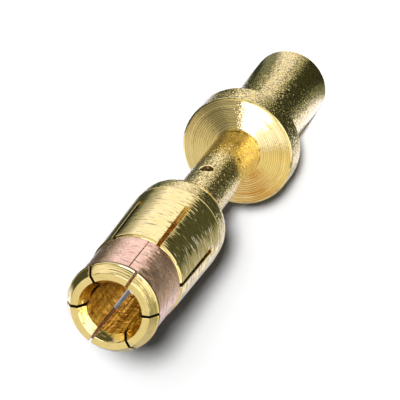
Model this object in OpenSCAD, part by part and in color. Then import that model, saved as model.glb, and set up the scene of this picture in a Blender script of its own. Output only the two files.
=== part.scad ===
// Turned crimp contact: a slotted socket for a round pin at the top, a crimp neck with an
// inspection hole, a locating collar and a wire barrel at the bottom, with a rolled spring
// ring seated round the fingers. The contact stands on its wire end, axis along +Z.

/* [Wire barrel] */
// Outside diameter of the wire barrel
barrel_od = 5; // [4.7:0.1:6]
// Length of the wire barrel below the collar
barrel_l = 9.7; // [8.5:0.1:14]
// Edge break at the open end of the barrel
barrel_chamfer = 0.15; // [0.05:0.05:0.3]
// Diameter of the wire entry drilled into the barrel
entry_d = 3.1; // [2.8:0.1:3.2]
// Depth of the full diameter of the wire entry
entry_depth = 8.6; // [5:0.1:9.5]
// Lead-in at the mouth of the wire entry
entry_chamfer = 0.25; // [0.1:0.05:0.4]

/* [Collar] */
// Outside diameter of the locating collar
collar_od = 7.6; // [6.6:0.1:9]
// Thickness of the locating collar
collar_t = 1.9; // [1:0.1:3]
// Edge break on both rims of the collar
collar_chamfer = 0.12; // [0.05:0.01:0.3]

/* [Crimp neck] */
// Outside diameter of the crimp neck
neck_od = 3.2; // [2.8:0.1:3.8]
// Straight length of the crimp neck above the collar
neck_l = 8.95; // [6:0.05:12]
// Diameter of the bore that takes the stripped wire
crimp_bore_d = 2.1; // [1.5:0.1:2.4]
// Diameter of the inspection hole in the neck
hole_d = 0.9; // [0.5:0.1:1.3]
// Edge break round the inspection hole
hole_chamfer = 0.08; // [0.02:0.01:0.15]
// Distance of the inspection hole below the end of the straight neck
hole_setback = 2.4; // [0.5:0.1:3.5]
// Depth of the crimp bore beyond the middle of the inspection hole
bore_past_hole = 0.8; // [0.6:0.1:1.5]

/* [Shoulder] */
// Length of the tapered land between the body and the round
rear_land_l = 1.1; // [0.5:0.1:2]
// Slope of the tapered land to the axis
rear_land_slope = 3; // [1:1:8]
// Steepest slope of the shoulder to the axis
shoulder_slope = 39; // [25:1:45]
// Radius of the round at the body end of the shoulder
shoulder_round = 1.6; // [0.8:0.1:2.5]
// Radius of the hollow at the neck end of the shoulder
shoulder_hollow = 3; // [1.5:0.1:4]

/* [Socket body] */
// Outside diameter of the body at the shoulder
body_od = 6.4; // [6.2:0.1:7.4]
// Length of the body from the shoulder to the ring step
body_l = 7.6; // [5:0.1:12]
// Edge break at the ring step
body_chamfer = 0.14; // [0.05:0.01:0.2]
// How far the fingers are drawn in between the shoulder and the ring step
finger_pinch = 0.1; // [0.02:0.01:0.15]

/* [Spring fingers] */
// Number of spring fingers
finger_count = 6; // [4:1:8]
// Width of a slot at its root
slot_root_w = 0.36; // [0.2:0.02:0.5]
// Width of a slot at the nose
slot_nose_w = 0.18; // [0.1:0.02:0.2]
// Distance of the slot roots above the shoulder
slot_setback = 1.7; // [0.5:0.1:3]

/* [Nose] */
// Outside diameter of the lip that holds the ring
lip_od = 6.2; // [6.1:0.05:6.8]
// Straight length of the lip
lip_l = 0.22; // [0.15:0.01:0.6]
// Edge break at the back of the lip
lip_chamfer = 0.05; // [0.02:0.01:0.1]
// Length of the tapered nose
nose_l = 0.7; // [0.3:0.05:1.5]
// Outside diameter of the flat end face
nose_face_od = 5.3; // [4.8:0.1:6]

/* [Socket bore] */
// Diameter of the contact land that grips the pin, and of the guide bore
pin_bore_d = 3.5; // [3:0.1:3.7]
// Length of the contact land
land_l = 0.7; // [0.4:0.1:1.5]
// Widening of the lead-in at the mouth of the socket
lead_in = 0.42; // [0.2:0.02:0.5]
// Length of the lead-in
lead_in_l = 0.6; // [0.3:0.05:1]
// Depth of the relief between the contact land and the guide bore
relief_depth = 0.2; // [0.05:0.01:0.3]
// Length of the guide bore at the bottom of the socket
guide_l = 1.4; // [0.5:0.1:2.5]
// Depth of the socket beyond the roots of the slots
socket_past_slot = 1.2; // [0.3:0.1:1.5]

/* [Spring ring] */
// Outside diameter of the rolled ring
ring_od = 6; // [5.8:0.05:6.15]
// Thickness of the ring strip
ring_t = 0.42; // [0.3:0.01:0.6]
// Width of the ring strip along the axis
ring_l = 4.1; // [2.5:0.1:6]
// Edge break along the ring strip
ring_chamfer = 0.06; // [0.02:0.01:0.12]
// Width of the butt seam
seam_w = 0.07; // [0.03:0.01:0.2]
// Turn of the seam from the nearest slot, in degrees
seam_turn = 12; // [5:0.5:25]
// Clearance between the ring and its seat
ring_fit = 0.015; // [0.005:0.005:0.05]
// Gap at each end of the ring
ring_end_gap = 0.09; // [0.02:0.01:0.2]

/* [Hidden] */
$fn = 96;

drill_point = 118;
arc_steps = 16;
cut_past = 0.5;
slot_azimuth = -90;
brass = [0.86, 0.70, 0.33];
copper = [0.80, 0.56, 0.47];

barrel_r = barrel_od/2;
entry_r = entry_d/2;
collar_r = collar_od/2;
neck_r = neck_od/2;
crimp_r = crimp_bore_d/2;
body_r = body_od/2;
step_r = body_r - finger_pinch;
lip_r = lip_od/2;
nose_r = nose_face_od/2;
land_r = pin_bore_d/2;
mouth_r = land_r + lead_in;
relief_r = land_r + relief_depth;
ring_r = ring_od/2;
ring_in_r = ring_r - ring_t;
seat_r = ring_in_r - ring_fit;
seat_l = ring_l + 2*ring_end_gap;

// Drop in radius and run along the axis of an arc that turns from one slope to another
function arc_drop(r, a, b) = r*(cos(a) - cos(b));
function arc_run(r, a, b) = r*(sin(b) - sin(a));

round_r = body_r - rear_land_l*tan(rear_land_slope);
round_drop = arc_drop(shoulder_round, rear_land_slope, shoulder_slope);
round_run = arc_run(shoulder_round, rear_land_slope, shoulder_slope);
hollow_drop = arc_drop(shoulder_hollow, 0, shoulder_slope);
hollow_run = arc_run(shoulder_hollow, 0, shoulder_slope);
cone_run = (round_r - neck_r - round_drop - hollow_drop)/tan(shoulder_slope);

// Heights of the shoulders and faces, from the wire end up
z_collar = barrel_l;
z_neck = z_collar + collar_t;
z_hollow = z_neck + neck_l;
z_cone = z_hollow + hollow_run;
z_round = z_cone + cone_run + round_run;
z_body = z_round + rear_land_l;
z_slot = z_body + slot_setback;
z_step = z_body + body_l;
z_lip = z_step + seat_l;
z_nose = z_lip + lip_l;
z_face = z_nose + nose_l;
z_land_top = z_face - lead_in_l;
z_land = z_land_top - land_l;
z_socket = z_slot - socket_past_slot;
z_guide = z_socket + guide_l;
z_hole = z_hollow - hole_setback;
z_crimp = z_hole + bore_past_hole;

// Depth of the cone that a drill of radius r leaves
function drill_tip(r) = r/tan(drill_point/2);

// Hollow of the shoulder, from the neck up, then its round, up to the tapered land
hollow_arc = [for (i = [0:arc_steps])
    let (a = shoulder_slope*i/arc_steps)
    [neck_r + arc_drop(shoulder_hollow, 0, a),
     z_hollow + arc_run(shoulder_hollow, 0, a)]];
round_arc = [for (i = [0:arc_steps])
    let (a = shoulder_slope + (rear_land_slope - shoulder_slope)*i/arc_steps)
    [round_r - arc_drop(shoulder_round, rear_land_slope, a),
     z_round - arc_run(shoulder_round, rear_land_slope, a)]];

outside = concat(
    [[entry_r + entry_chamfer, 0],
     [barrel_r - barrel_chamfer, 0],
     [barrel_r, barrel_chamfer],
     [barrel_r, z_collar],
     [collar_r - collar_chamfer, z_collar],
     [collar_r, z_collar + collar_chamfer],
     [collar_r, z_neck - collar_chamfer],
     [collar_r - collar_chamfer, z_neck],
     [neck_r, z_neck]],
    hollow_arc,
    round_arc,
    [[body_r, z_body],
     [step_r, z_step - body_chamfer],
     [step_r - body_chamfer, z_step],
     [seat_r, z_step],
     [seat_r, z_lip],
     [lip_r - lip_chamfer, z_lip],
     [lip_r, z_lip + lip_chamfer],
     [lip_r, z_nose],
     [nose_r, z_face]]);

socket_bore = [
    [mouth_r, z_face],
    [land_r, z_land_top],
    [land_r, z_land],
    [relief_r, z_land - relief_depth],
    [relief_r, z_guide + relief_depth],
    [land_r, z_guide],
    [land_r, z_socket],
    [0, z_socket - drill_tip(land_r)]];

wire_bore = [
    [0, z_crimp + drill_tip(crimp_r)],
    [crimp_r, z_crimp],
    [crimp_r, entry_depth + drill_tip(entry_r - crimp_r)],
    [entry_r, entry_depth],
    [entry_r, entry_chamfer]];

// Saw slot between two fingers, wider at its root because the fingers are drawn in
module finger_slot() {
    rotate([90, 0, 90])
        linear_extrude(height = body_od)
            polygon([
                [-slot_root_w/2, z_slot],
                [slot_root_w/2, z_slot],
                [slot_nose_w/2, z_face],
                [slot_nose_w/2, z_face + cut_past],
                [-slot_nose_w/2, z_face + cut_past],
                [-slot_nose_w/2, z_face]]);
}

// Inspection hole through one wall of the neck, with its edge broken
module inspection_hole() {
    rotate([0, 90, 0]) {
        cylinder(d = hole_d, h = neck_od);
        translate([0, 0, neck_r - hole_chamfer])
            cylinder(d1 = hole_d, d2 = hole_d + 2*neck_od, h = neck_od);
    }
}

module contact_body() {
    color(brass)
        difference() {
            rotate_extrude()
                polygon(concat(outside, socket_bore, wire_bore));
            for (i = [0:finger_count - 1])
                rotate([0, 0, slot_azimuth + 360*i/finger_count])
                    finger_slot();
            translate([0, 0, z_hole])
                rotate([0, 0, slot_azimuth + 180/finger_count])
                    inspection_hole();
        }
}

module spring_ring() {
    color(copper)
        translate([0, 0, z_step + ring_end_gap])
            difference() {
                rotate_extrude()
                    polygon([
                        [ring_in_r, 0],
                        [ring_r - ring_chamfer, 0],
                        [ring_r, ring_chamfer],
                        [ring_r, ring_l - ring_chamfer],
                        [ring_r - ring_chamfer, ring_l],
                        [ring_in_r, ring_l]]);
                rotate([0, 0, slot_azimuth + seam_turn])
                    translate([0, -seam_w/2, -cut_past])
                        cube([ring_od, seam_w, ring_l + 2*cut_past]);
            }
}

contact_body();
spring_ring();
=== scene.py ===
# %% [markdown] # A crimp contact  The contact is turned from one brass bar. Its front end is a socket: it
# is drilled and sawn into six fingers, and a rolled ring of copper-coloured strip holds the fingers
# together. The solid model gives the sizes. This lesson builds finer surfaces of the same two pieces with
# numpy, and gives them metal that shows the marks of the lathe.

# %% Load the solid model
import math

import bpy
import numpy as np
from mathutils import Matrix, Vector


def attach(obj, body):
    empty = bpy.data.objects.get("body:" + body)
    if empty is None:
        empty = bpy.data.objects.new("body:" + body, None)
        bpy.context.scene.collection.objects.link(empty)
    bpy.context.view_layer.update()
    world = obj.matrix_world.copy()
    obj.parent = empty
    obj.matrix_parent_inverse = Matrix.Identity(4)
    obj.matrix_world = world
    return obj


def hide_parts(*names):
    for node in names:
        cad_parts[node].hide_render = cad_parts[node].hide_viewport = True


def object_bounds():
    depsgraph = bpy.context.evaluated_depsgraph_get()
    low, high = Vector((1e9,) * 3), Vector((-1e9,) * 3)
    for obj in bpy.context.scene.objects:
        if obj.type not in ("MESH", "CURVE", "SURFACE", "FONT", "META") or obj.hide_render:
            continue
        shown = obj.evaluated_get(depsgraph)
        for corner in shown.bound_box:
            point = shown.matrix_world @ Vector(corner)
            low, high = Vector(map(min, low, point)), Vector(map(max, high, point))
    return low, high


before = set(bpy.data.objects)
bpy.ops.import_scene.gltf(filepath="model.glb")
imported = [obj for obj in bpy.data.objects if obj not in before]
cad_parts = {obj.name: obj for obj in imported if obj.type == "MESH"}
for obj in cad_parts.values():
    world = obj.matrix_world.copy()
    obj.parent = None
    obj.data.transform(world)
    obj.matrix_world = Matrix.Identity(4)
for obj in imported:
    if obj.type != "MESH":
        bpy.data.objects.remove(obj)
cad_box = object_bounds()
MM = 0.001
print("solid pieces:", len(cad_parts))
print("solid model, in mm:", [[round(x/MM, 2) for x in corner] for corner in cad_box])

# %% [markdown]
# ## The sizes
#
# These are the sizes of the solid model, in millimetres, from the wire end up. They could be measured on
# the solid's mesh, but named sizes say what each one is, and every finer surface can be worked out from
# them. In the names, R is a radius, L a length along the axis, T a thickness and W a width.

# %% Sizes of the barrel, the collar and the neck
BARREL_R = 2.5
BARREL_L = 9.7
BARREL_BEVEL = 0.15
ENTRY_R = 1.55
ENTRY_DEPTH = 8.6
ENTRY_BEVEL = 0.25
COLLAR_R = min(cad_box[1][0], cad_box[1][1])/MM
COLLAR_T = 1.9
COLLAR_BEVEL = 0.12
NECK_R = 1.6
NECK_L = 8.95
CRIMP_R = 1.05
HOLE_R = 0.45
HOLE_EDGE = 0.05
HOLE_BACK = 2.4  # from the middle of the hole to the end of the neck
PAST_HOLE = 0.8  # from the middle of the hole to the end of the crimp bore
print("barrel and collar:", BARREL_L + COLLAR_T, "mm long and", round(2*COLLAR_R, 2), "mm wide")

# %% Sizes of the socket body and the nose
HOLLOW_R = 3.0  # bend from the neck into the shoulder
ROUND_R = 1.6  # bend from the shoulder into the rear land
SHOULDER_SLOPE = 39.0
REAR_LAND = 1.1
LAND_SLOPE = 3.0
BODY_R = 3.2
BODY_L = 7.6
STEP_R = 3.1
STEP_BEVEL = 0.14
LIP_R = 3.1
LIP_L = 0.22
LIP_BEVEL = 0.05
NOSE_R = 2.65
NOSE_L = 0.7
MARK = 0.03  # depth of a tool mark
print("body tapers from", 2*BODY_R, "to", 2*STEP_R, "mm and ends in a nose of", 2*NOSE_R, "mm")

# %% Sizes of the socket, the slots and the ring
PIN_R = 1.75
LEAD = 0.42
LEAD_L = 0.6
LAND_L = 0.7
RELIEF = 0.2
GUIDE_L = 1.4
FINGERS = 6
FIRST_SLOT = math.radians(-90)
SLOT_BACK = 1.7  # from the end of the rear land to the root of a slot
PAST_SLOT = 1.2  # from the root of a slot to the bottom of the socket
SLOT_ROOT = 0.36
SLOT_NOSE = 0.18
RING_R = 3.0
RING_T = 0.42
RING_L = 4.1
RING_FIT = 0.015
RING_GAP = 0.09
SEAM_W = 0.07
SEAM_TURN = math.radians(12)
print(FINGERS, "slots, from", SLOT_ROOT, "mm wide at the root to", SLOT_NOSE, "mm at the nose")

# %% [markdown] ## The heights  Where one stretch of the contact ends, the next one starts, so the heights
# are sums of the lengths. Only the shoulder needs more: two bends with a cone between them have to bridge
# the step from the neck to the body.

# %% Bends and drill tips
ARC_POINTS = 13


def drill_tip(drill_r):
    """Depth of the cone that a 118 degree drill leaves: its radius over the tangent of half that angle."""
    return drill_r/math.tan(math.radians(118/2))


def bend(bend_r, first_slope, last_slope):
    """Drop in radius and run along the axis of a bend from its start: its radius times the fall of the
    slope's cosine, and its radius times the rise of the slope's sine. Slopes are in degrees from the axis."""
    slope = np.radians(np.linspace(first_slope, last_slope, ARC_POINTS))
    return bend_r*(np.cos(slope[0]) - np.cos(slope)), bend_r*(np.sin(slope) - np.sin(slope[0]))


hollow_drop, hollow_run = bend(HOLLOW_R, 0, SHOULDER_SLOPE)
round_drop, round_run = bend(ROUND_R, LAND_SLOPE, SHOULDER_SLOPE)
round_r = BODY_R - REAR_LAND*math.tan(math.radians(LAND_SLOPE))
cone_drop = round_r - NECK_R - round_drop[-1] - hollow_drop[-1]
cone_run = cone_drop/math.tan(math.radians(SHOULDER_SLOPE))
shoulder_runs = [round(float(run), 2) for run in (hollow_run[-1], cone_run, round_run[-1])]
print("hollow, cone and round of the shoulder, in mm:", shoulder_runs)

# %% Heights along the axis
Z_NECK = BARREL_L + COLLAR_T
Z_HOLLOW = Z_NECK + NECK_L
Z_ROUND = Z_HOLLOW + hollow_run[-1] + cone_run + round_run[-1]
Z_BODY = Z_ROUND + REAR_LAND
Z_SLOT = Z_BODY + SLOT_BACK
Z_STEP = Z_BODY + BODY_L
Z_LIP = Z_STEP + RING_L + 2*RING_GAP
Z_NOSE = Z_LIP + LIP_L
Z_FACE = Z_NOSE + NOSE_L
Z_HOLE = Z_HOLLOW - HOLE_BACK
Z_CRIMP = Z_HOLE + PAST_HOLE
Z_SOCKET = Z_SLOT - PAST_SLOT
Z_GUIDE = Z_SOCKET + GUIDE_L
Z_LEAD = Z_FACE - LEAD_L
Z_LAND = Z_LEAD - LAND_L
print("front face at", round(Z_FACE, 3), "mm; the solid ends at", round(cad_box[1][2]/MM, 3), "mm")

# %% [markdown]
# ## The section
#
# A turned piece is one outline swung about its axis, as it was in the lathe. The outline starts at the tip
# of the wire bore, runs down the bore, round the wire end, up the outside, over the nose and down into the
# socket. It could be a curve with a Screw modifier. Arrays are used because the slots, the hole and the
# finishes ask for single rows of it later. Each real edge gets a small radius, because a broken edge
# catches a thin line of light.

# %% Corners of an outline
SHARP = 0.0
TINY = 1e-6


def smooth(r, z):
    """A smooth stretch of outline as rows of radius, height and an edge radius of zero."""
    r, z = np.broadcast_arrays(r, z)
    return np.stack([r, z, np.full(len(z), SHARP)], -1)


def rounded(corners, steps):
    """Outline through corners, given as rows of radius, height and edge radius e. A corner p with an edge
    radius becomes a quadratic curve from a, at e before it, to b, at e after it:
    (1 - t)^2 a + 2 t (1 - t) p + t^2 b. The others stay as they are."""
    corner, edge = corners[:, :2], corners[:, 2:]
    ahead = np.roll(corner, -1, 0) - corner
    way = ahead/np.maximum(np.linalg.norm(ahead, axis=1, keepdims=True), TINY)
    before = corner - edge*np.roll(way, 1, 0)
    after = corner + edge*way
    t = np.linspace(0, 1, steps)[:, None]
    curve = (1 - t)**2*before[:, None] + 2*t*(1 - t)*corner[:, None] + t**2*after[:, None]
    return curve[(edge > 0) | (np.arange(steps) == 0)]


print("a square corner with an edge of 1:", rounded(np.array([(0, 2, 0), (0, 0, 1), (2, 0, 0)]), 3).tolist())

# %% Outline of the wire bore
BROKEN_EDGE = 0.04
HOLE_GRID = 8  # cells from the middle of the hole to the side of the block that is taken out for it
BORE_REACH = 4  # how many half blocks of rows the bore has on each side of the hole
BORE_BLOCK = PAST_HOLE/BORE_REACH
bore_rows = Z_HOLE + BORE_BLOCK*np.arange(-BORE_REACH*HOLE_GRID, BORE_REACH*HOLE_GRID)/HOLE_GRID
wire_bore = np.vstack([
    (0, Z_CRIMP + drill_tip(CRIMP_R), SHARP),
    (CRIMP_R, Z_CRIMP, SHARP),
    smooth(CRIMP_R, bore_rows[::-1]),
    (CRIMP_R, ENTRY_DEPTH + drill_tip(ENTRY_R - CRIMP_R), SHARP),
    (ENTRY_R, ENTRY_DEPTH, SHARP),
    (ENTRY_R, ENTRY_BEVEL, BROKEN_EDGE),
])
print("wire bore:", len(wire_bore), "corners")

# %% Outline of the barrel, the collar and the neck
TOOL_CORNER = 0.03
NECK_FOOT = 0.06
NECK_REACH = 3  # how many half blocks of rows the neck has on each side of the hole
NECK_BLOCK = 0.37
neck_rows = Z_HOLE + NECK_BLOCK*np.linspace(-NECK_REACH, NECK_REACH, 2*NECK_REACH*HOLE_GRID + 1)
wire_end = np.vstack([
    (ENTRY_R + ENTRY_BEVEL, 0, BROKEN_EDGE),
    (BARREL_R - BARREL_BEVEL, 0, BROKEN_EDGE),
    (BARREL_R, BARREL_BEVEL, BROKEN_EDGE),
    (BARREL_R, BARREL_L, TOOL_CORNER),
    (COLLAR_R - COLLAR_BEVEL, BARREL_L, BROKEN_EDGE),
    (COLLAR_R, BARREL_L + COLLAR_BEVEL, BROKEN_EDGE),
    (COLLAR_R, Z_NECK - COLLAR_BEVEL, BROKEN_EDGE),
    (COLLAR_R - COLLAR_BEVEL, Z_NECK, BROKEN_EDGE),
    (NECK_R, Z_NECK, NECK_FOOT),
    smooth(NECK_R, neck_rows),
])
print("wire end:", len(wire_end), "corners")

# %% Outline of the shoulder and the body
MARK_HALF = 0.05
MARK_EDGE = 0.015
ROOT_ROW = 0.06  # a row just past the root of the slots, where the edges of the fingers start to roll
taper = (STEP_R - BODY_R)/(BODY_L - STEP_BEVEL)
slot_r = BODY_R + taper*SLOT_BACK
seat_r = RING_R - RING_T - RING_FIT
body = np.vstack([
    smooth(NECK_R + hollow_drop, Z_HOLLOW + hollow_run),
    smooth(round_r - round_drop[::-1], Z_ROUND - round_run[::-1]),
    (BODY_R, Z_BODY - MARK_HALF, MARK_EDGE),
    (BODY_R - MARK, Z_BODY, MARK_EDGE),
    (BODY_R, Z_BODY + MARK_HALF, MARK_EDGE),
    (slot_r, Z_SLOT, SHARP),
    (slot_r + taper*ROOT_ROW, Z_SLOT + ROOT_ROW, SHARP),
    (STEP_R, Z_STEP - STEP_BEVEL, BROKEN_EDGE),
    (STEP_R - STEP_BEVEL, Z_STEP, BROKEN_EDGE),
    (seat_r, Z_STEP, SHARP),
    (seat_r, Z_LIP, SHARP),
])
print("shoulder, body and ring seat:", len(body), "corners")

# %% Outline of the nose
CRISP_EDGE = 0.02
NOSE_MARK_EDGE = 0.012
mark_share = np.array([0.07, 0.12, 0.18])[:, None]  # along the slope: start, middle and end of the tool mark
mark_depth = np.array([0, MARK, 0])[:, None]
slope = np.array([NOSE_R - LIP_R, NOSE_L])
inward = np.array([-NOSE_L, NOSE_R - LIP_R])/np.linalg.norm(slope)
nose_mark = np.array([LIP_R, Z_NOSE]) + mark_share*slope + mark_depth*inward
nose_outline = np.vstack([
    (LIP_R - LIP_BEVEL, Z_LIP, CRISP_EDGE),
    (LIP_R, Z_LIP + LIP_BEVEL, CRISP_EDGE),
    (LIP_R, Z_NOSE, CRISP_EDGE),
    np.c_[nose_mark, np.full(len(nose_mark), NOSE_MARK_EDGE)],
    (NOSE_R, Z_FACE, CRISP_EDGE),
])
print("lip and nose:", len(nose_outline), "corners")

# %% Outline of the socket, and the whole section
relief_r = PIN_R + RELIEF
socket = np.vstack([
    (PIN_R + LEAD, Z_FACE, CRISP_EDGE),
    (PIN_R, Z_LEAD, BROKEN_EDGE),
    (PIN_R, Z_LAND, TOOL_CORNER),
    (relief_r, Z_LAND - RELIEF, TOOL_CORNER),
    (relief_r, Z_GUIDE + RELIEF, SHARP),
    (PIN_R, Z_GUIDE, SHARP),
    (PIN_R, Z_SLOT + ROOT_ROW, SHARP),
    (PIN_R, Z_SLOT, SHARP),
    (PIN_R, Z_SOCKET, SHARP),
    (0, Z_SOCKET - drill_tip(PIN_R), SHARP),
])
line = rounded(np.vstack([wire_bore, wire_end, body, nose_outline, socket]), 4)
line_r, line_z = line.T
ROWS = len(line)


def row_at(r, z):
    """The row of the section that is nearest to a radius and a height."""
    return int(np.argmin(np.hypot(line_r - r, line_z - z)))


print("section:", ROWS, "points, from", line_z.min().round(3), "to", line_z.max().round(3), "mm")

# %% [markdown]
# ## The normals of the section
#
# A normal says which way a surface faces, and polished metal shows every fault in it. Blender can average
# the normals of the faces that meet at a point, but then a large flat face seems to bend near its edge.
# Here they are worked out from the outline, so a flat face stays flat to its edge and only the rounded
# edges roll.

# %% Normals along an outline
HARD_CORNER = 40.0


def section_normals(outline):
    """Normals at the start and the end of each side of an outline. A side's own normal is the side turned by
    a right angle. Where two sides meet, both take the mean by length, unless they meet at a hard corner."""
    side = np.diff(outline, axis=0)
    turned = np.c_[side[:, 1], -side[:, 0]]
    own = turned/np.linalg.norm(side, axis=1, keepdims=True)
    mean = np.vstack([turned[:1], turned[1:] + turned[:-1], turned[-1:]])
    mean /= np.linalg.norm(mean, axis=1, keepdims=True)
    change = np.degrees(np.arccos(np.clip((own[1:]*own[:-1]).sum(1), -1, 1)))
    hard = np.r_[True, change > HARD_CORNER, True][:, None]
    return np.where(hard[:-1], own, mean[:-1]), np.where(hard[1:], own, mean[1:])


start_normal, end_normal = section_normals(line)
row_normal = np.vstack([start_normal[:1], start_normal[1:] + end_normal[:-1], end_normal[-1:]])
row_normal /= np.linalg.norm(row_normal, axis=1, keepdims=True)
print("sides that face outwards:", int((start_normal[:, 0] > 0.5).sum()), "of", len(start_normal))

# %% [markdown]
# ## The columns
#
# The section is swung through columns all the way round. The slots could be cut by a Boolean modifier, but
# that leaves long thin faces and sharp edges. Here the columns follow the slots instead. They are closer
# together where a finger meets a slot, because there the surface rolls over a small edge into the wall of
# the slot. A column keeps its distance from the middle of its slot, so its angle changes with the radius.
# That makes the walls flat, as a saw leaves them, and further apart at the root, because the fingers were
# pressed together.

# %% Columns round the axis
FINGER_EDGE = 0.025
FINGER_CELLS = 28
NARROWEST = 0.6  # the tips of the bores are narrower than a slot, so their columns are set as for this radius
SIXTH = 2*math.pi/FINGERS
roll = np.radians([90, 60, 30, 0])


def ramp(value, start, run):
    """Zero up to start, then evenly up to one over run, and one from there on."""
    return np.clip((value - start)/run, 0, 1)


slot_w = SLOT_ROOT + (SLOT_NOSE - SLOT_ROOT)*ramp(line_z, Z_SLOT, Z_FACE - Z_SLOT)
off_middle = slot_w[:, None]/2 + FINGER_EDGE*(1 - np.sin(roll))
edge_angle = np.arcsin(off_middle/np.maximum(line_r, NARROWEST)[:, None])
last_edge = edge_angle[:, -1:]
across_finger = last_edge + (SIXTH - 2*last_edge)*np.linspace(0, 1, FINGER_CELLS + 1)[1:-1]
one_finger = np.hstack([np.zeros((ROWS, 1)), edge_angle, across_finger, SIXTH - edge_angle[:, ::-1]])
angle = np.hstack([FIRST_SLOT + finger*SIXTH + one_finger for finger in range(FINGERS)])
FINGER_COLS = one_finger.shape[1]
COLS = angle.shape[1]
print("columns:", COLS, "in all,", FINGER_COLS, "for each finger and the slot before it")

# %% Rolled edges of the fingers
outer_root = row_at(slot_r, Z_SLOT)
inner_root = row_at(PIN_R, Z_SLOT)
sawn_rows = np.zeros((ROWS, 1))
sawn_rows[outer_root + 1:inner_root] = 1
flat_cols = np.zeros(FINGER_CELLS - 1)
one_way = np.ones(len(roll))
rolled = sawn_rows*np.tile(np.r_[0, roll, flat_cols, roll[::-1]], FINGERS)
towards_slot = np.tile(np.r_[0, -one_way, flat_cols, one_way], FINGERS)
inset = FINGER_EDGE*(1 - np.cos(rolled))
radius = line_r[:, None] - inset*row_normal[:, :1]
height = line_z[:, None] - inset*row_normal[:, 1:]
print("the slots run over rows", outer_root, "to", inner_root)

# %% [markdown]
# ## The inspection hole
#
# A small hole is drilled through one wall of the neck, to see that the wire is all the way in. A Boolean
# would spoil the even grid round it. So a square block of cells is left out, and the grid round the block
# is moved along straight lines from the middle of the hole until the rim of the block lies on a circle. The
# same is done on the bore inside, and later a wall joins the two rims.

# %% The grid round the hole
HOLE_COL = len(roll) + FINGER_CELLS//2
HOLE_ANGLE = FIRST_SLOT + SIXTH/2


def open_hole(angle, height, middle_row, half_z, times, rim_r, wall_r):
    """Angles and heights of the grid, moved round the hole. A point lies at a distance d from the middle of
    the hole, on a ray that leaves the block at b and the moved patch at times b. It goes to the distance
    rim_r + (d - b) (times b - rim_r)/(times b - b): the block's rim goes to rim_r, the patch's stays."""
    half_y = wall_r*math.sin(angle[middle_row, HOLE_COL + HOLE_GRID] - HOLE_ANGLE)
    y = wall_r*np.sin(angle - HOLE_ANGLE)
    z = height - Z_HOLE
    blocks = np.maximum(np.abs(y)/half_y, np.abs(z)/half_z)
    on_wall = (np.cos(angle - HOLE_ANGLE) > 0) & (np.abs(radius - wall_r) < TINY)
    near = on_wall & (blocks >= 1 - TINY) & (blocks < times)
    d = np.hypot(y, z)
    b = d/np.maximum(blocks, TINY)
    moved = rim_r + (d - b)*(times*b - rim_r)/np.maximum(times*b - b, TINY)
    scale = np.where(near, moved/np.maximum(d, TINY), 1)
    moved_angle = HOLE_ANGLE + np.arcsin(np.clip(y*scale/wall_r, -1, 1))
    return np.where(near, moved_angle, angle), np.where(near, Z_HOLE + z*scale, height)


neck_row = row_at(NECK_R, Z_HOLE)
bore_row = row_at(CRIMP_R, Z_HOLE)
angle, height = open_hole(angle, height, neck_row, NECK_BLOCK, NECK_REACH, HOLE_R + HOLE_EDGE, NECK_R)
angle, height = open_hole(angle, height, bore_row, BORE_BLOCK, BORE_REACH, HOLE_R, CRIMP_R)
points = np.stack([radius*np.cos(angle), radius*np.sin(angle), height], -1).reshape(-1, 3)
print("hole: rows", neck_row, "and", bore_row, "column", HOLE_COL, " grid:", len(points), "points")

# %% Rims of the hole
forth = np.arange(-HOLE_GRID, HOLE_GRID)
stay = np.full(2*HOLE_GRID, HOLE_GRID)
rim_col = HOLE_COL + np.r_[forth, stay, -forth, -stay]
rim_step = np.r_[-stay, forth, stay, -forth]
outer_rim = (neck_row + rim_step)*COLS + rim_col
inner_rim = (bore_row - rim_step)*COLS + rim_col
hole_out = np.array([math.cos(HOLE_ANGLE), math.sin(HOLE_ANGLE), 0])
hole_side = np.array([-math.sin(HOLE_ANGLE), math.cos(HOLE_ANGLE), 0])
UP = np.array([0, 0, 1])
rim_y = points[outer_rim] @ hole_side
rim_z = points[outer_rim][:, 2] - Z_HOLE
print("rim of the hole:", len(outer_rim), "points at", np.hypot(rim_y, rim_z).mean().round(3), "mm")

# %% [markdown]
# ## The faces
#
# Every cell of the grid becomes a face, apart from those in the slots and in the hole. Each slot gets two
# flat walls and a floor at its root, and the hole gets a bevelled rim and a wall. A face keeps a zone with
# it, which says how that surface was made, because the finishes ask for that later.

# %% Patches of faces
SKIN, SAWN, ROOT, RIM, DRILLED = range(5)


def patch(corners, normals, zone):
    """Faces with equally many corners: the points of each face, the normal at each corner, and its zone."""
    return corners, np.broadcast_to(normals, (*corners.shape, 3)), np.full(corners.shape, zone)


def gathered(patches):
    """The patches in a row: corners, how many each face has, and the corners' normals and zones."""
    corners = np.concatenate([of_faces.ravel() for of_faces, _, _ in patches])
    sizes = np.concatenate([np.full(len(of_faces), of_faces.shape[1]) for of_faces, _, _ in patches])
    normals = np.concatenate([at_corners.reshape(-1, 3) for _, at_corners, _ in patches])
    zones = np.concatenate([of_corners.ravel() for _, _, of_corners in patches])
    return corners, sizes, normals, zones


def round_axis(outline_normal, a):
    """An outline's normal (r, z) swung to the angle a: r cos a, r sin a and z."""
    r, z = outline_normal[..., 0], outline_normal[..., 1]
    return np.stack([r*np.cos(a), r*np.sin(a), z], -1)


def swung(outline_normal, row, col):
    """An outline's normal swung to its column. On the edge of a finger it is also rolled by t towards the
    slot: cos t times that normal plus sin t times the direction round the axis."""
    a, t = angle[row, col], rolled[row, col][..., None]
    beside = np.stack([-np.sin(a), np.cos(a), 0*a], -1)*towards_slot[col][..., None]
    return round_axis(outline_normal, a)*np.cos(t) + beside*np.sin(t)


print("zones: skin", SKIN, "sawn wall", SAWN, "slot root", ROOT, "hole rim", RIM, "drilled wall", DRILLED)

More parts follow.
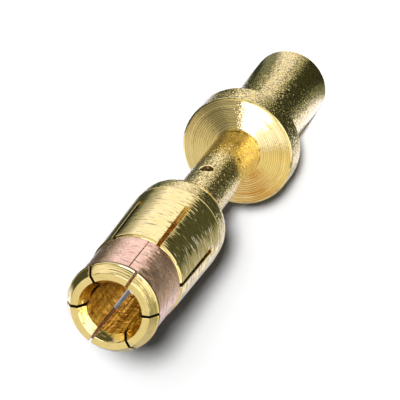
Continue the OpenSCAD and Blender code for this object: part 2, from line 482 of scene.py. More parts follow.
# %% Faces of the turned skin
row, col = np.meshgrid(np.arange(ROWS - 1), np.arange(COLS), indexing="ij")
next_col = (col + 1) % COLS
cell = np.stack([row*COLS + col, row*COLS + next_col, (row + 1)*COLS + next_col, (row + 1)*COLS + col], -1)
cell_normal = np.stack([swung(start_normal[row], row, col), swung(start_normal[row], row, next_col),
                        swung(end_normal[row], row + 1, next_col), swung(end_normal[row], row + 1, col)], -2)
in_slot = (row >= outer_root) & (row < inner_root) & ((col + 1) % FINGER_COLS < 2)
by_neck = (row >= neck_row - HOLE_GRID) & (row < neck_row + HOLE_GRID)
by_bore = (row >= bore_row - HOLE_GRID) & (row < bore_row + HOLE_GRID)
in_hole = (by_neck | by_bore) & (col >= HOLE_COL - HOLE_GRID) & (col < HOLE_COL + HOLE_GRID)
kept = ~(in_slot | in_hole)
first, last = row == 0, row == ROWS - 2
middle = kept & ~first & ~last
joined = np.arange(ROWS*COLS)
joined[:COLS] = 0
joined[-COLS:] = (ROWS - 1)*COLS
contact_patches = [
    patch(cell[middle], cell_normal[middle], SKIN),
    patch(joined[cell[first][:, [0, 2, 3]]], cell_normal[first][:, [0, 2, 3]], SKIN),
    patch(joined[cell[last][:, [0, 1, 2]]], cell_normal[last][:, [0, 1, 2]], SKIN),
]
print("skin:", int(kept.sum()), "faces; left out for slots and hole:", int((~kept).sum()))

# %% Walls and roots of the slots
wall_rows = np.arange(outer_root, inner_root + 1)*COLS
for slot in range(FINGERS):
    slot_angle = FIRST_SLOT + slot*SIXTH
    beside_slot = np.array([-math.sin(slot_angle), math.cos(slot_angle), 0])
    slot_cols = (slot*FINGER_COLS + np.array([-1, 0, 1])) % COLS
    contact_patches.append(patch((wall_rows + slot_cols[2])[None], -beside_slot, SAWN))
    contact_patches.append(patch((wall_rows + slot_cols[0])[None, ::-1], beside_slot, SAWN))
    root_out = outer_root*COLS + slot_cols
    root_in = inner_root*COLS + slot_cols
    root_faces = np.stack([root_out[:-1], root_out[1:], root_in[1:], root_in[:-1]], -1)
    contact_patches.append(patch(root_faces, UP, ROOT))
print("slots:", FINGERS, "with walls of", len(wall_rows), "corners")

# %% Rim and wall of the hole
RIM_LEAN = 0.43  # the rim's normal: this much towards the middle of the hole
RIM_RISE = 0.9  # and this much out of the neck
ray_y, ray_z = rim_y/np.hypot(rim_y, rim_z), rim_z/np.hypot(rim_y, rim_z)
ray = ray_y[:, None]*hole_side + ray_z[:, None]*UP
wall_top = np.sqrt(NECK_R**2 - rim_y**2) - HOLE_EDGE
wall_bottom = np.sqrt(CRIMP_R**2 - (HOLE_R*ray_y)**2)
wall_share = np.array([0, 0.3, 0.65])[:, None]
wall_depth = (wall_top + (wall_bottom - wall_top)*wall_share)[..., None]
wall_points = Z_HOLE*UP + wall_depth*hole_out + HOLE_R*ray
wall_loops = len(points) + np.arange(wall_points[..., 0].size).reshape(len(wall_share), -1)
loops = np.vstack([outer_rim, wall_loops, inner_rim])
points = np.vstack([points, wall_points.reshape(-1, 3)])
onward = np.roll(loops, -1, 1)
bands = np.stack([loops[:-1], onward[:-1], onward[1:], loops[1:]], -1)
rim_normal = RIM_RISE*hole_out - RIM_LEAN*ray
rim_normals = np.stack([rim_normal, np.roll(rim_normal, -1, 0), np.roll(rim_normal, -1, 0), rim_normal], 1)
wall_normals = -np.stack([ray, np.roll(ray, -1, 0), np.roll(ray, -1, 0), ray], 1)
contact_patches.append(patch(bands[0], rim_normals, RIM))
contact_patches += [patch(band, wall_normals, DRILLED) for band in bands[1:]]
print("hole:", bands[..., 0].size, "faces in", len(bands), "bands")

# %% [markdown]
# ## The finishes of the contact
#
# One bar of brass shows many finishes. The barrel and the neck were tumbled and are satin. The body keeps
# the streaks of the tool, the collar's face its grooves, and the bores a dull film. Each could be its own
# material slot, but then a finish ends at a hard line. Here every corner of a face carries numbers from 0
# to 1, and one material reads them.

# %% Where the corners lie
NEAR = 0.01
corners, sizes, normals, zones = gathered(contact_patches)
skin = zones == SKIN
sawn, root, drilled = zones == SAWN, zones == ROOT, zones == DRILLED
at_row = np.where(corners < ROWS*COLS, corners//COLS, 0)
level = line_z[at_row]
facing_z = np.abs(row_normal[at_row, 1])
upright = facing_z < 0.9
face_row = row_at(PIN_R + LEAD, Z_FACE)
lead_row = row_at(PIN_R, Z_LEAD)
in_socket = at_row > lead_row
in_wire_bore = at_row < row_at(ENTRY_R, ENTRY_BEVEL)
lead_in = skin & (at_row > face_row) & (at_row <= lead_row)
nose = skin & (level > Z_NOSE - NEAR) & (at_row <= face_row)
shaded_lip_side = skin & (level > Z_LIP - NEAR) & (level < Z_NOSE - NEAR) & (at_row <= face_row)
collar_face = skin & ~upright & (np.abs(level - Z_NECK) < NEAR)
collar_edge = (facing_z > 0.3) & (level > BARREL_L - NEAR) & (level < Z_NECK + NEAR)
print("corners:", len(corners), " on the nose:", int(nose.sum()), " on the collar:", int(collar_face.sum()))

# %% Shares of each finish and of painted shade
FOOT_GRAIN = 0.45  # grain at the foot of the neck, which the tumbling hardly reached
FOOT_RUN = 6.0
SHOULDER_START = 0.6
# Each bare number below is the share of a finish, or of painted shade, on one kind of surface, judged.
foot = np.where(level > Z_NECK - NEAR, np.clip(FOOT_GRAIN + (level - Z_NECK)/FOOT_RUN, 0, 1), 1)
tumbled = skin & upright & ~in_wire_bore & ~collar_edge & (level < Z_BODY - 2*NEAR)
satin = tumbled*foot*np.where(level > Z_HOLLOW + SHOULDER_START, 0.5, 1)
fine_cut = np.where(level > Z_LIP - NEAR, 0.4, 1)*np.where(nose & ~upright, 0.4, 1)
streaky = skin*~collar_face*(1 - satin)*fine_cut
grooved = 1.0*collar_face + 0.5*(nose & upright) + 0.25*(nose & ~upright)
leaning = 1.0*collar_face + 0.12*nose
inside = 1.0*(skin & (in_socket | in_wire_bore)) + 1.0*root + 0.3*sawn + 0.6*drilled
# Painted shade: the colour is darkened in the wire bore, the hole, the lead-in, the slots and on the lip's
# side.
dark_bore = 0.9*(skin & in_wire_bore) + 0.75*drilled + 0.2*lead_in
dark_slot = 0.45*root + np.where(level > Z_STEP, 0.75, 0.5)*sawn
dark = dark_bore + dark_slot + 1.0*shaded_lip_side
contact_shares = {"satin": satin, "streaky": streaky, "grooved": grooved, "leaning": leaning,
                  "inside": inside, "dark": dark}
print("mean shares:", {key: round(float(share.mean()), 3) for key, share in contact_shares.items()})

# %% The contact's mesh
def make_piece(name, points, corners, sizes, normals, shares):
    """A piece from whole arrays, with millimetres turned to metres. Points that no face uses are dropped, the
    normals stay as given, and the shares go on the corners. An edge without two faces is counted as open."""
    used, at = np.unique(corners, return_inverse=True)
    starts = np.cumsum(sizes) - sizes
    mesh = bpy.data.meshes.new(name)
    mesh.vertices.add(len(used))
    mesh.vertices.foreach_set("co", (points[used]*MM).astype(np.float32).ravel())
    mesh.loops.add(len(at))
    mesh.loops.foreach_set("vertex_index", at.astype(np.int32))
    mesh.polygons.add(len(sizes))
    mesh.polygons.foreach_set("loop_start", starts.astype(np.int32))
    mesh.update(calc_edges=True)
    changed = mesh.validate()
    mesh.polygons.foreach_set("use_smooth", np.ones(len(mesh.polygons), bool))
    mesh.normals_split_custom_set(normals)
    for key, share in shares.items():
        mesh.attributes.new(key, "FLOAT", "CORNER").data.foreach_set("value", share.astype(np.float32))
    piece = bpy.data.objects.new(name, mesh)
    bpy.context.scene.collection.objects.link(piece)
    following = np.arange(len(at)) + 1
    following[starts + sizes - 1] = starts
    faces_at_edge = np.unique(np.sort(np.c_[at, at[following]]), axis=0, return_counts=True)[1]
    mesh.calc_loop_triangles()
    print(name, "has", len(used), "points and", len(mesh.loop_triangles), "triangles; open edges:",
          int((faces_at_edge != 2).sum()), " changed by validate:", changed)
    return piece


contact = make_piece("contact", points, corners, sizes, normals, contact_shares)
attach(contact, "root")
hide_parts("contact_body")

# %% [markdown]
# ## The ring
#
# The ring is a strip of springy copper-coloured metal, rolled until its ends almost meet. Its section is a
# small rectangle with rounded edges. It could be a tube with a slit cut into it. Here the section is
# carried round the axis from one end of the strip to the other, and each end gets a flat face, so the seam
# stays open.

# %% Section and points of the ring
RING_EDGE = 0.06
RING_COLS = 240
ring_in = RING_R - RING_T
ring_low = Z_STEP + RING_GAP
ring_high = ring_low + RING_L
ring_line = rounded(np.array([
    (ring_in, ring_low + RING_L/2, SHARP),
    (ring_in, ring_low, RING_EDGE),
    (RING_R, ring_low, RING_EDGE),
    (RING_R, ring_high, RING_EDGE),
    (ring_in, ring_high, RING_EDGE),
]), 5)
ring_start, ring_end = section_normals(np.vstack([ring_line, ring_line[:1]]))
ring_r, ring_z = ring_line[:, :1], ring_line[:, 1:]
seam_angle = FIRST_SLOT + SEAM_TURN
half_seam = np.arcsin(SEAM_W/2/ring_r)
ring_angle = seam_angle + half_seam + (2*math.pi - 2*half_seam)*np.linspace(0, 1, RING_COLS)
ring_points = np.stack([ring_r*np.cos(ring_angle), ring_r*np.sin(ring_angle),
                        np.broadcast_to(ring_z, ring_angle.shape)], -1).reshape(-1, 3)
print("ring: section of", len(ring_line), "points, carried through", RING_COLS, "columns")

# %% Faces of the ring
RING_ROWS = len(ring_line)
row, col = np.meshgrid(np.arange(RING_ROWS), np.arange(RING_COLS - 1), indexing="ij")
next_row = (row + 1) % RING_ROWS
strip = np.stack([row*RING_COLS + col, row*RING_COLS + col + 1,
                  next_row*RING_COLS + col + 1, next_row*RING_COLS + col], -1)
strip_normals = np.stack([round_axis(ring_start[row], ring_angle[row, col]),
                          round_axis(ring_start[row], ring_angle[row, col + 1]),
                          round_axis(ring_end[row], ring_angle[next_row, col + 1]),
                          round_axis(ring_end[row], ring_angle[next_row, col])], -2)
first_end = np.arange(RING_ROWS)*RING_COLS
last_end = first_end + RING_COLS - 1
across_seam = np.array([-math.sin(seam_angle), math.cos(seam_angle), 0])
ring_patches = [
    patch(strip.reshape(-1, 4), strip_normals.reshape(-1, 4, 3), SKIN),
    patch(first_end[None], -across_seam, SKIN),
    patch(last_end[None, ::-1], across_seam, SKIN),
]
print("ring:", strip[..., 0].size, "faces and two ends")

# %% The ring's mesh
ring_corners, ring_sizes, ring_normals, ring_zones = gathered(ring_patches)
EDGE_SHADE_REACH = 0.05  # how far the painted shade on the strip's edges reaches in
from_middle = np.abs(ring_points[ring_corners, 2] - ring_low - RING_L/2)
shaded_ring_edge = from_middle > RING_L/2 - EDGE_SHADE_REACH
ring_skin = 1.0*(ring_zones == SKIN)
# Painted shade: the ring's colour is darkened along both its edges, beside the gaps at the body and the lip.
ring_shares = {"satin": 0.25*ring_skin, "streaky": 0.8*ring_skin, "dark": 0.7*shaded_ring_edge}
ring = make_piece("ring", ring_points, ring_corners, ring_sizes, ring_normals, ring_shares)
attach(ring, "root")
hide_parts("spring_ring")

# %% [markdown]
# ## Writing a material
#
# A material is a small program of nodes. It could be drawn by hand in the editor, but a script can be read
# and run again. The class below makes the script short: each call adds one node and returns its output, and
# an input may be a number, a colour or the output of another node.

# %% Nodes in a few words
class Nodes:
    """Short ways to add nodes to a tree: each adds one node and returns what comes out of it."""

    def __init__(self, tree):
        self.tree = tree
        self.tree.nodes.clear()

    def set(self, socket, value):
        """Links another node's output to a socket, or sets the socket to a number or a colour."""
        if isinstance(value, bpy.types.NodeSocket):
            self.tree.links.new(value, socket)
        else:
            socket.default_value = value

    def add(self, kind, *inputs, **settings):
        """Any node, with its first inputs in order and its settings by name."""
        node = self.tree.nodes.new("ShaderNode" + kind)
        for key, value in settings.items():
            setattr(node, key, value)
        for socket, value in zip(node.inputs, inputs):
            self.set(socket, value)
        return node

    def math(self, operation, *inputs):
        """A sum, product or other operation on numbers."""
        return self.add("Math", *inputs, operation=operation).outputs[0]

    def vector(self, operation, *inputs):
        """An operation on directions."""
        return self.add("VectorMath", *inputs, operation=operation).outputs[0]

    def scaled(self, vector, factor):
        """A direction or a colour times a number."""
        node = self.add("VectorMath", vector, operation="SCALE")
        self.set(node.inputs["Scale"], factor)
        return node.outputs[0]

    def range(self, value, low, high, to_low, to_high):
        """A number that runs from to_low to to_high while value runs from low to high, and then stays."""
        return self.add("MapRange", value, low, high, to_low, to_high).outputs[0]

    def noise(self, place, scale, detail):
        """An uneven number about 0.5 with scale cells to each unit of place."""
        node = self.add("TexNoise", place)
        self.set(node.inputs["Scale"], scale)
        self.set(node.inputs["Detail"], detail)
        return node.outputs[0]

    def mix(self, share, first, second):
        """A colour that runs from first to second with share."""
        node = self.add("Mix", share, data_type="RGBA")
        self.set(node.inputs[6], first)
        self.set(node.inputs[7], second)
        return node.outputs[2]

    def share(self, name):
        """One of the numbers that the piece carries on the corners of its faces."""
        return self.add("Attribute", attribute_name=name).outputs["Fac"]


def new_material(name, kind=Nodes):
    """An empty material, and nodes of a kind to fill it with."""
    material = bpy.data.materials.new(name)
    material.use_nodes = True
    return material, kind(material.node_tree)


print("ways to add a node:", [word for word in vars(Nodes) if not word.startswith("_")])

# %% [markdown]
# ## Turned metal
#
# A lathe tool leaves fine grooves that run round the axis, a little uneven along their length. They could
# be a bump texture, but a bump is blurred at this scale. Here the grooves are a noise that is stretched
# round the axis, fast along the outline and slow round it, and it tilts the normal directly, so a
# reflection breaks up into streaks. The satin parts were tumbled and carry an even grain instead, which
# tilts the normal both ways.

# %% Places on a turned piece
OUTWARD_RUN = 0.6


class TurnedNodes(Nodes):
    """Nodes that know where they are on a turned piece: the direction from the axis, the direction round it,
    and the distance along the outline in metres, which is the height plus a part of the radius."""

    def __init__(self, tree):
        super().__init__(tree)
        self.place = self.add("TexCoord").outputs["Object"]
        x, y, z = self.add("SeparateXYZ", self.place).outputs
        from_axis = self.add("CombineXYZ", x, y, 0.0).outputs[0]
        length = self.add("VectorMath", from_axis, operation="LENGTH").outputs["Value"]
        r = self.math("MAXIMUM", length, TINY)
        outward = self.scaled(from_axis, self.math("DIVIDE", 1.0, r))
        self.out_x, self.out_y, _ = self.add("SeparateXYZ", outward).outputs
        minus_y = self.math("MULTIPLY", self.out_y, -1.0)
        self.tangent = self.add("CombineXYZ", minus_y, self.out_x, 0.0).outputs[0]
        self.along = self.math("MULTIPLY_ADD", r, OUTWARD_RUN, z)

    def drawn_noise(self, turns, pitch, detail):
        """Noise with turns cells to each radian round the axis, and a cell every pitch along the outline."""
        x = self.math("MULTIPLY", self.out_x, turns)
        y = self.math("MULTIPLY", self.out_y, turns)
        z = self.math("DIVIDE", self.along, pitch)
        return self.noise(self.add("CombineXYZ", x, y, z).outputs[0], 1.0, detail)

    def tilted(self, round_tilt, outline_tilt):
        """The normal tilted both ways: n + a t + b (n x t), brought back to a length of one, where t is the
        direction round the axis."""
        normal = self.add("NewGeometry").outputs["Normal"]
        outline = self.vector("CROSS_PRODUCT", normal, self.tangent)
        round_shift = self.scaled(self.tangent, round_tilt)
        outline_shift = self.scaled(outline, outline_tilt)
        moved = self.vector("ADD", normal, self.vector("ADD", round_shift, outline_shift))
        return self.vector("NORMALIZE", moved)


print("distance along an outline: height plus", OUTWARD_RUN, "of the radius")

# %% Tilts
def centred(nodes, noise, amount):
    """A noise turned to one about zero, times amount."""
    return nodes.math("MULTIPLY", nodes.math("SUBTRACT", noise, 0.5), amount)


def flecked(nodes, noise, amount):
    """A noise turned to one about zero whose few peaks stand out: its distance d from the middle, times the
    size of d, times amount."""
    d = nodes.math("SUBTRACT", noise, 0.5)
    return nodes.math("MULTIPLY", nodes.math("MULTIPLY", d, nodes.math("ABSOLUTE", d)), amount)


def weighed(nodes, *pairs):
    """The sum of values, each times its share."""
    total = 0.0
    for value, share in pairs:
        total = nodes.math("MULTIPLY_ADD", value, share, total)
    return total


print("tilts: centred, flecked and weighed")

# %% Grooves of the collar
FEED = 0.083*MM  # how far the tool went along in one turn of the collar
FEED_DRIFT = 0.15*MM  # how far a groove may be off along the outline
FEED_WANDER = 0.07*MM  # how far it may wander in going round
DRIFTS = 9000.0  # changes of the drift in a metre
GROOVE_STRENGTH = (0.45, 1.25)  # of the weakest and the strongest groove


def feed_wave(nodes, coarse):
    """The collar's grooves: the sine of a full turn times the distance along the outline over the feed. A
    noise makes the distance uneven, and the coarse streaks make the sine stronger or weaker."""
    along_only = nodes.add("CombineXYZ", nodes.math("MULTIPLY", nodes.along, DRIFTS), 0.0, 0.0).outputs[0]
    wander = nodes.math("MULTIPLY_ADD", coarse, FEED_WANDER, nodes.along)
    fed = nodes.math("MULTIPLY_ADD", nodes.noise(along_only, 1.0, 1.0), FEED_DRIFT, wander)
    wave = nodes.math("SINE", nodes.math("MULTIPLY", fed, 2*math.pi/FEED))
    return nodes.math("MULTIPLY", wave, nodes.range(coarse, 0.3, 0.65, *GROOVE_STRENGTH))


print("grooves of the collar:", round(FEED/MM, 3), "mm apart")

# %% [markdown]
# ## One metal for every finish
#
# The material adds up the tilts of the streaks, the grain, the grooves and the bored walls, each times the
# share that the piece carries for it. A bore is coated with a warm dull film. Deep places, the lip's side
# and the ring's edges are darker: painted shade, put into the colour where little light gets. A texture
# painted by hand would do it too, but it would not follow a change of the sizes.

# %% Marks on the metal
STREAK = 0.13*MM
BROAD_STREAK = 0.5*MM
BORED_LINE = 0.012*MM
PULLED_STREAK = 1000/60*MM  # streaks that the drill pulled along the bore as it came out
GRAINS = 9500.0  # grains of the tumbled finish in a metre
CLOUDS = 900.0  # changes of tone in a metre
APART = (0.1, 0.2, 0.3)  # moves a second grain away from the first


class MarkedNodes(TurnedNodes):
    """Nodes that also know each mark on the metal, as a noise, and the shares that the piece carries."""

    def __init__(self, tree):
        super().__init__(tree)
        self.shares = {finish_or_shade: self.share(finish_or_shade) for finish_or_shade in contact_shares}
        self.fine = self.drawn_noise(4.0, STREAK, 1.5)
        self.coarse = self.drawn_noise(2.0, BROAD_STREAK, 2.0)
        self.bored = self.drawn_noise(3.0, BORED_LINE, 2.0)
        self.pulled = self.drawn_noise(10.0, PULLED_STREAK, 2.0)
        self.grain = self.noise(self.place, GRAINS, 1.0)
        self.second_grain = self.noise(self.vector("ADD", self.place, APART), GRAINS, 1.0)
        self.cloud = self.noise(self.place, CLOUDS, 3.0)


print("streaks:", round(STREAK/MM, 2), "mm apart; grains:", round(1/GRAINS/MM, 3), "mm")

# %% Tilt of the normal
FINE_TILT = 3.5
BROAD_TILT = 0.14
GROOVE_TILT = 0.17
COLLAR_LEAN = -0.38
GRAIN_ALONG = 4.2
GRAIN_ROUND = 10.0
GRAIN_ON_FACE = 0.25
BORED_TILT = 12.0
PULLED_TILT = 1.2


def marked_normal(nodes):
    """The normal tilted by the marks. Along the outline, the tilt is the sum of streaks, grain, grooves, lean
    and bored lines, each times its share. Round the axis, it is that of streaks, grain and pulled streaks."""
    part = nodes.shares
    fine_streak = flecked(nodes, nodes.fine, FINE_TILT)
    streak = nodes.math("ADD", fine_streak, centred(nodes, nodes.coarse, BROAD_TILT))
    groove = nodes.math("MULTIPLY", feed_wave(nodes, nodes.coarse), GROOVE_TILT)
    outline_tilt = weighed(nodes,
                           (streak, part["streaky"]),
                           (flecked(nodes, nodes.grain, GRAIN_ALONG), part["satin"]),
                           (groove, part["grooved"]),
                           (part["leaning"], COLLAR_LEAN),
                           (centred(nodes, nodes.bored, BORED_TILT), part["inside"]))
    round_tilt = weighed(nodes,
                         (nodes.math("ADD", streak, fine_streak), part["streaky"]),
                         (flecked(nodes, nodes.second_grain, GRAIN_ROUND), part["satin"]),
                         (centred(nodes, nodes.second_grain, GRAIN_ON_FACE), part["grooved"]),
                         (centred(nodes, nodes.pulled, PULLED_TILT), part["inside"]))
    return nodes.tilted(round_tilt, outline_tilt)


print("the collar's grooves lean", round(math.degrees(math.atan(-COLLAR_LEAN)), 1), "degrees")

# %% Colour of the metal
BORE_BROWN = (0.55, 0.22, 0.012, 1)
BORE_AMBER = (1.0, 0.66, 0.10, 1)
PIT_SHADE = 0.22
SCRATCH_SHADE = 0.6
DEEP_SHADE = 0.12


def marked_colour(nodes, deep, pale):
    """Colour that runs from deep to pale with the clouds and the broad streaks, and from brown to amber with
    the pulled streaks in a bore, times the shade of pits and scratches and the painted shade of dark places."""
    part = nodes.shares
    clouded = nodes.math("MULTIPLY", nodes.math("ADD", nodes.coarse, nodes.cloud), 0.5)
    bare = nodes.mix(nodes.range(clouded, 0.3, 0.7, 0.0, 1.0), (*deep, 1), (*pale, 1))
    coated = nodes.mix(nodes.range(nodes.pulled, 0.36, 0.64, 0.0, 1.0), BORE_BROWN, BORE_AMBER)
    deepest_pit = nodes.range(part["satin"], 0.0, 1.0, 1.0, PIT_SHADE)
    deepest_scratch = nodes.range(part["streaky"], 0.0, 1.0, 1.0, SCRATCH_SHADE)
    pits = nodes.range(nodes.grain, 0.36, 0.5, deepest_pit, 1.0)
    scratches = nodes.range(nodes.fine, 0.32, 0.46, deepest_scratch, 1.0)
    worn = nodes.math("MULTIPLY", pits, scratches)
    shade = nodes.math("MULTIPLY", worn, nodes.range(part["dark"], 0.0, 1.0, 1.0, DEEP_SHADE))
    return nodes.scaled(nodes.mix(part["inside"], bare, coated), shade)


print("shade of a pit:", PIT_SHADE, " of a scratch:", SCRATCH_SHADE, " of a deep place:", DEEP_SHADE)

# %% Turned brass and rolled copper
BORE_METALLIC = 0.8
BORE_ROUGHNESS = 0.5  # times that of the outside


def turned_metal(name, deep, pale, rough, film):
    """Metal with all the marks. rough is its lowest and highest roughness, which change with the clouds, and
    film is how much of it a dull film hides."""
    material, nodes = new_material(name, MarkedNodes)
    inside = nodes.shares["inside"]
    uneven = nodes.range(nodes.cloud, 0.3, 0.7, *rough)
    smoother = nodes.range(inside, 0.0, 1.0, 1.0, BORE_ROUGHNESS)
    metal = nodes.add("BsdfPrincipled")
    nodes.set(metal.inputs["Base Color"], marked_colour(nodes, deep, pale))
    nodes.set(metal.inputs["Metallic"], nodes.range(inside, 0.0, 1.0, 1.0 - film, BORE_METALLIC))
    nodes.set(metal.inputs["Roughness"], nodes.math("MULTIPLY", uneven, smoother))
    nodes.set(metal.inputs["Normal"], marked_normal(nodes))
    nodes.add("OutputMaterial", metal.outputs[0])
    print(name, "has", len(nodes.tree.nodes), "nodes")
    return material


BRASS = turned_metal("turned brass", (0.84, 0.64, 0.22), (0.93, 0.73, 0.30), (0.08, 0.16), 0.0)
COPPER = turned_metal("rolled copper strip", (0.78, 0.44, 0.27), (0.97, 0.63, 0.42), (0.18, 0.28), 0.1)
contact.data.materials.append(BRASS)
ring.data.materials.append(COPPER)

# %% [markdown]
# ## Light cards
#
# Bare metal shows only what it mirrors. A photographer stands white and black cards round it. From this
# high camera the upright sides mirror the floor round the contact, so the cards for them lie there in
# rings, and a dome of cards stands over everything. Area lamps could do it, but a lamp also lights the
# floor. These surfaces are seen by reflections alone. The turn of a card is counted from the side of the
# contact that faces the camera.

# %% Light of the cards
def cards(angle, *row):
    """Light at each angle from a row of cards (first angle, last angle, level): even across a card, and
    blended evenly from one card to the next."""
    edges = [edge for first_angle, last_angle, _ in row for edge in (first_angle, last_angle)]
    levels = np.repeat([card_level for _, _, card_level in row], 2)
    return np.interp(angle, edges, levels)


def daylight(light):
    """Colour of a grey card. A bright one gains up to 2 percent of green and 25 of blue, as paper does in
    daylight. A dim one gains up to 16 percent of green and loses up to 25 of blue, as under a lamp."""
    cool = ramp(light, 0.5, 0.7)
    olive = 1 - ramp(light, 0, 0.6)
    return np.stack([light, light*(1 + 0.02*cool + 0.16*olive), light*(1 + 0.25*cool - 0.25*olive)], -1)


print("a bright and a dim card:", daylight(np.array([1.2, 0.1])).round(2).tolist())

# %% A surface of cards
AXIS_TURN = 94.0  # from the side that faces the camera to the solid model's first axis
TENT_R = 2500.0
CARD_Z = 0.05
turn = np.arange(-180.0, 180.0)


def card_surface(name, r, z, light):
    """A surface round the axis that only reflections see. r and z are the radius and height of its rings, and
    light is its colour by ring and turn: the point at a turn t lies at r cos t, r sin t and z."""
    a = np.radians(turn - AXIS_TURN)
    around = np.stack([r[:, None]*np.cos(a), r[:, None]*np.sin(a), np.repeat(z[:, None], len(a), 1)], -1)
    row, col = np.meshgrid(np.arange(len(r) - 1), np.arange(len(a)), indexing="ij")
    here, onward = row*len(a) + col, row*len(a) + (col + 1) % len(a)
    mesh = bpy.data.meshes.new(name)
    quads = np.stack([here, onward, onward + len(a), here + len(a)], -1).reshape(-1, 4)
    mesh.from_pydata(around.reshape(-1, 3)*MM, [], quads.tolist())
    colour = np.concatenate([light, np.ones((*light.shape[:2], 1))], -1).astype(np.float32)
    mesh.attributes.new("light", "FLOAT_COLOR", "POINT").data.foreach_set("color", colour.ravel())
    material, nodes = new_material(name)
    glow = nodes.add("Emission", nodes.add("Attribute", attribute_name="light").outputs["Color"], 1.0)
    nodes.add("OutputMaterial", glow.outputs[0])
    mesh.materials.append(material)
    surface = bpy.data.objects.new(name, mesh)
    bpy.context.scene.collection.objects.link(surface)
    for rays in ("camera", "diffuse", "transmission", "volume_scatter", "shadow"):
        setattr(surface, "visible_" + rays, False)
    print(name, "light from", light.min().round(2), "to", light.max().round(2))


print("cards are set at", len(turn), "turns")

# %% Cards on the floor
BARREL_CARDS = (2.45, 8.4)
NECK_CARDS = (9.4, 13.0)
BODY_CARDS = (17.0, 30.0)
NOSE_CARDS = (45.0, TENT_R)
for_barrel = cards(turn, (-180, -145, 0.9), (-124, -118, 0.4), (-110, -78, 1.38), (-62, -58, 0.3),
                   (-40, -2, 0.05), (28, 44, 1.15), (60, 76, 0.25), (90, 106, 0.04), (123, 180, 1.35))
for_neck = cards(turn, (-180, -150, 0.45), (-115, -92, 1.15), (-74, -70, 0.25), (-52, -2, 0.06),
                 (40, 58, 1.2), (76, 92, 0.3), (110, 132, 0.06), (148, 180, 0.95))
for_body = cards(turn, (-180, -142, 0.6), (-122, -112, 1.1), (-100, -82, 0.5), (-58, -3, 0.08),
                 (15, 68, 1.25), (88, 92, 0.5), (108, 142, 0.06), (158, 180, 1.2))
for_nose = cards(turn, (-180, -176, 0.8), (-166, -152, 0.42), (-138, -106, 0.62), (-88, -64, 0.43),
                 (-44, 4, 0.75), (46, 70, 1.13), (82, 85, 0.95), (96, 132, 0.07), (148, 172, 1.35))
floor_r = np.array([*BARREL_CARDS, *NECK_CARDS, *BODY_CARDS, *NOSE_CARDS])
floor_light = daylight(np.repeat(np.stack([for_barrel, for_neck, for_body, for_nose]), 2, axis=0))
card_surface("floor cards", floor_r, np.full(len(floor_r), CARD_Z), floor_light)

# %% [markdown]
# ## The wheel of cards overhead
#
# The collar's face is flat, but its grooves lean, so each spoke of it mirrors another part of the sky. A
# wheel of cards round the mirrored line of sight gives each spoke its own tone: a lamp makes the white
# wedge, and tan and grey cards make the rest. Near the horizon the wheel gives way to a skirt of cards,
# which the slope of the nose mirrors.

# %% Cards of the wheel
CAMERA_TILT = 30.0  # from the contact's axis to the line of sight
GREY = (0.8, 0.8, 0.8)
TAN = (0.68, 0.42, 0.17)
CREAM = (0.9, 0.84, 0.7)
PALE = (1.2, 1.25, 1.7)
LAMP = (4.0, 4.2, 7.0)
DIM = (0.4, 0.4, 0.4)
DARK = (0.26, 0.26, 0.26)
WARM = (0.75, 0.72, 0.68)
WHITE = (1.15, 1.1, 1.05)
wheel_cards = [(-180, -170, GREY), (-140, -108, TAN), (-82, -58, CREAM), (-46, -44, WARM), (-30, -12, PALE),
               (-2, 24, LAMP), (28, 44, DIM), (58, 74, DARK), (98, 104, WARM), (125, 160, WHITE),
               (179, 180, GREY)]
above = np.arange(0.0, 91.0)[:, None]
flat_r = np.cos(np.radians(above))
wheel_x = flat_r*np.cos(np.radians(turn)) + math.sin(math.radians(CAMERA_TILT))
wheel_y = flat_r*np.sin(np.radians(turn))
from_hub = np.hypot(wheel_x, wheel_y)[..., None]
spoke = np.degrees(np.arctan2(wheel_y, wheel_x))
wheel = np.stack([cards(spoke, *[(start, stop, tone[channel]) for start, stop, tone in wheel_cards])
                  for channel in range(3)], -1)
print("wheel:", len(wheel_cards), "cards, light from", wheel.min().round(2), "to", wheel.max().round(2))

# %% The tent
HUB_LIGHT = 0.87
RIM_LIGHT = 1.0
HUB = (0.24, 0.1)  # where a blend starts and how far it runs, here from the wheel's middle
SPOKE_MIDDLE = (0.5, 0.3)
WHEEL_RIM = (1.0, 0.12)
SKIRT_STEP = (5.5, 1.5)  # and here in degrees above the floor
SKIRT_TOP = (18.0, 8.0)
contrast = cards(spoke, (-180, -25, 0.35), (25, 165, 0.8), (179, 180, 0.35))[..., None]
wheel = wheel*(1 + contrast*(ramp(from_hub, *SPOKE_MIDDLE) - 0.5))
wheel = wheel + (RIM_LIGHT - wheel)*ramp(from_hub, *WHEEL_RIM)
tent_light = HUB_LIGHT + (wheel - HUB_LIGHT)*ramp(from_hub, *HUB)
low_skirt = cards(turn, (-180, -110, 0.8), (-100, -60, 0.45), (-52, -8, 1.02), (1, 3, 0.76), (12, 75, 1.05),
                  (85, 130, 0.1), (145, 180, 0.8))
high_skirt = cards(turn, (-180, -90, 0.8), (-55, -10, 2.6), (12, 125, 0.1), (140, 180, 0.8))
skirt = low_skirt + (high_skirt - low_skirt)*ramp(above, *SKIRT_STEP)
in_skirt = 1 - ramp(above, *SKIRT_TOP)[..., None]
tent_light = tent_light + (daylight(skirt) - tent_light)*in_skirt
card_surface("tent", TENT_R*flat_r[:, 0], CARD_Z + TENT_R*np.sin(np.radians(above[:, 0])), tent_light)

# %% [markdown]
# ## The floor and the sky
#
# The contact stands on its wire end on plain white paper. The paper is matt, so it takes the shadow softly.
# The sky is white where the camera or a reflection sees it, and gives the paper almost no light, because
# two suns do that. A bright sky would be simpler, but it would wash the shadow out.

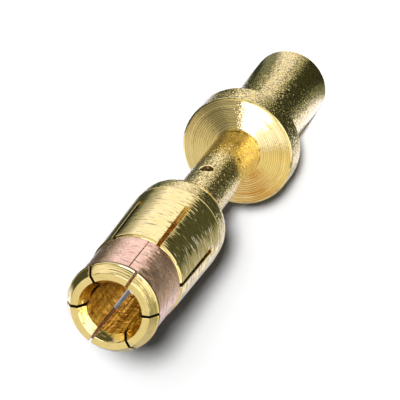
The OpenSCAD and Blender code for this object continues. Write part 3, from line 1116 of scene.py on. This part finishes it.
# %% Paper and sky
PAPER_HALF = 3.0
SKY_ON_PAPER = 0.03
paper_corners = PAPER_HALF*np.array([(-1, -1, 0), (1, -1, 0), (1, 1, 0), (-1, 1, 0)])
floor_mesh = bpy.data.meshes.new("floor")
floor_mesh.from_pydata(paper_corners, [], [(0, 1, 2, 3)])
paper, nodes = new_material("floor paper")
nodes.add("OutputMaterial", nodes.add("BsdfDiffuse", (0.97, 0.97, 0.97, 1)).outputs[0])
floor_mesh.materials.append(paper)
floor = bpy.data.objects.new("floor", floor_mesh)
bpy.context.scene.collection.objects.link(floor)

world = bpy.data.worlds.new("studio")
world.use_nodes = True
bpy.context.scene.world = world
nodes = Nodes(world.node_tree)
rays = nodes.add("LightPath").outputs
seen = nodes.math("MAXIMUM", rays["Is Camera Ray"], rays["Is Glossy Ray"])
seen = nodes.math("MAXIMUM", seen, rays["Is Transmission Ray"])
sky = nodes.add("Background", (1, 1, 1, 1), nodes.range(seen, 0.0, 1.0, SKY_ON_PAPER, 1.0))
nodes.add("OutputWorld", sky.outputs[0])
print("paper:", 2*PAPER_HALF, "m wide; sky on it:", SKY_ON_PAPER)

# %% [markdown]
# ## The camera
#
# The photo is taken with a long lens from high up, with the mouth of the socket towards the camera. The
# camera could be aimed by trial. Here its axes come from the picture: the contact's axis lies 30 degrees
# from the line of sight, and the wire end points up to the right. The camera's own directions are right,
# down and away.

# %% Camera
AXIS_LEAN = 51.47  # in the picture, from its right side up to the contact's axis
AIM_Z = 37.2  # height on the contact's axis of the point that is placed below
AIM = np.array([-5.5149, 6.8107, 571.5222])  # where the camera sees that point, to its right, down and away
LENS = 810.0
SENSOR = 36.0
tilt, lean = math.radians(CAMERA_TILT), math.radians(AXIS_LEAN)
axis = np.array([math.sin(tilt)*math.cos(lean), -math.sin(tilt)*math.sin(lean), math.cos(tilt)])
sight = AIM/np.linalg.norm(AIM)
facing = (sight @ axis)*axis - sight
facing /= np.linalg.norm(facing)
model_axes = np.stack([np.cross(facing, axis), -facing, -axis])
spin = math.radians(90 - AXIS_TURN)
spun = np.array([(math.cos(spin), -math.sin(spin), 0), (math.sin(spin), math.cos(spin), 0), (0, 0, 1)])
to_model = spun @ model_axes
eye = np.array([0, 0, AIM_Z]) - to_model @ AIM


def placed(turned, at):
    """A matrix for an object: its three axes as columns, and its place."""
    rows = np.eye(4)
    rows[:3, :3], rows[:3, 3] = turned, at
    return Matrix(rows.tolist())


camera = bpy.data.objects.new("camera", bpy.data.cameras.new("camera"))
bpy.context.scene.collection.objects.link(camera)
camera.matrix_world = placed(to_model @ np.diag([1, -1, -1]), eye*MM)
camera.data.lens, camera.data.sensor_width = LENS, SENSOR
camera.data.clip_start, camera.data.clip_end = 0.01, 20.0
bpy.context.scene.camera = camera
bpy.context.scene.view_settings.view_transform = "Standard"
print("camera at", eye.round(1), "mm")

# %% [markdown]
# ## The suns
#
# Two soft suns stand close to the camera, a little to its left, so the shadow shows as a soft band on the
# right. The key makes the band, and the fill, which is larger and further off, softens it. Reflections
# don't see them, because the metal has its cards. One larger sun would blur the band as much near the foot
# as far from it.

# %% Key and fill
SUN_SIDE = np.array([-0.87, -0.49, 0])  # where the suns stand beside the camera: left and up in the picture


def sun(name, off, size, strength):
    """A sun off degrees from the line of sight: cos off towards the camera plus sin off towards the suns'
    side. size is its angle across in degrees."""
    data = bpy.data.lights.new(name, "SUN")
    data.angle, data.energy = math.radians(size), strength
    lamp = bpy.data.objects.new(name, data)
    bpy.context.scene.collection.objects.link(lamp)
    back = to_model @ (math.sin(math.radians(off))*SUN_SIDE - math.cos(math.radians(off))*sight)
    back /= np.linalg.norm(back)
    level_side = np.cross([0, 0, 1], back)
    level_side /= np.linalg.norm(level_side)
    lamp.matrix_world = placed(np.stack([level_side, np.cross(back, level_side), back], 1), np.zeros(3))
    lamp.visible_glossy = False
    print(name, "stands", round(math.degrees(math.asin(back[2])), 1), "degrees high")


sun("key", 2.45, 3.0, 2.75)
sun("fill", 4.2, 5.2, 0.95)

# %% [markdown]
# ## The box of the solid model
#
# The finer surfaces have to stay within the box of the solid model, because the solids are what other parts
# are fitted to.
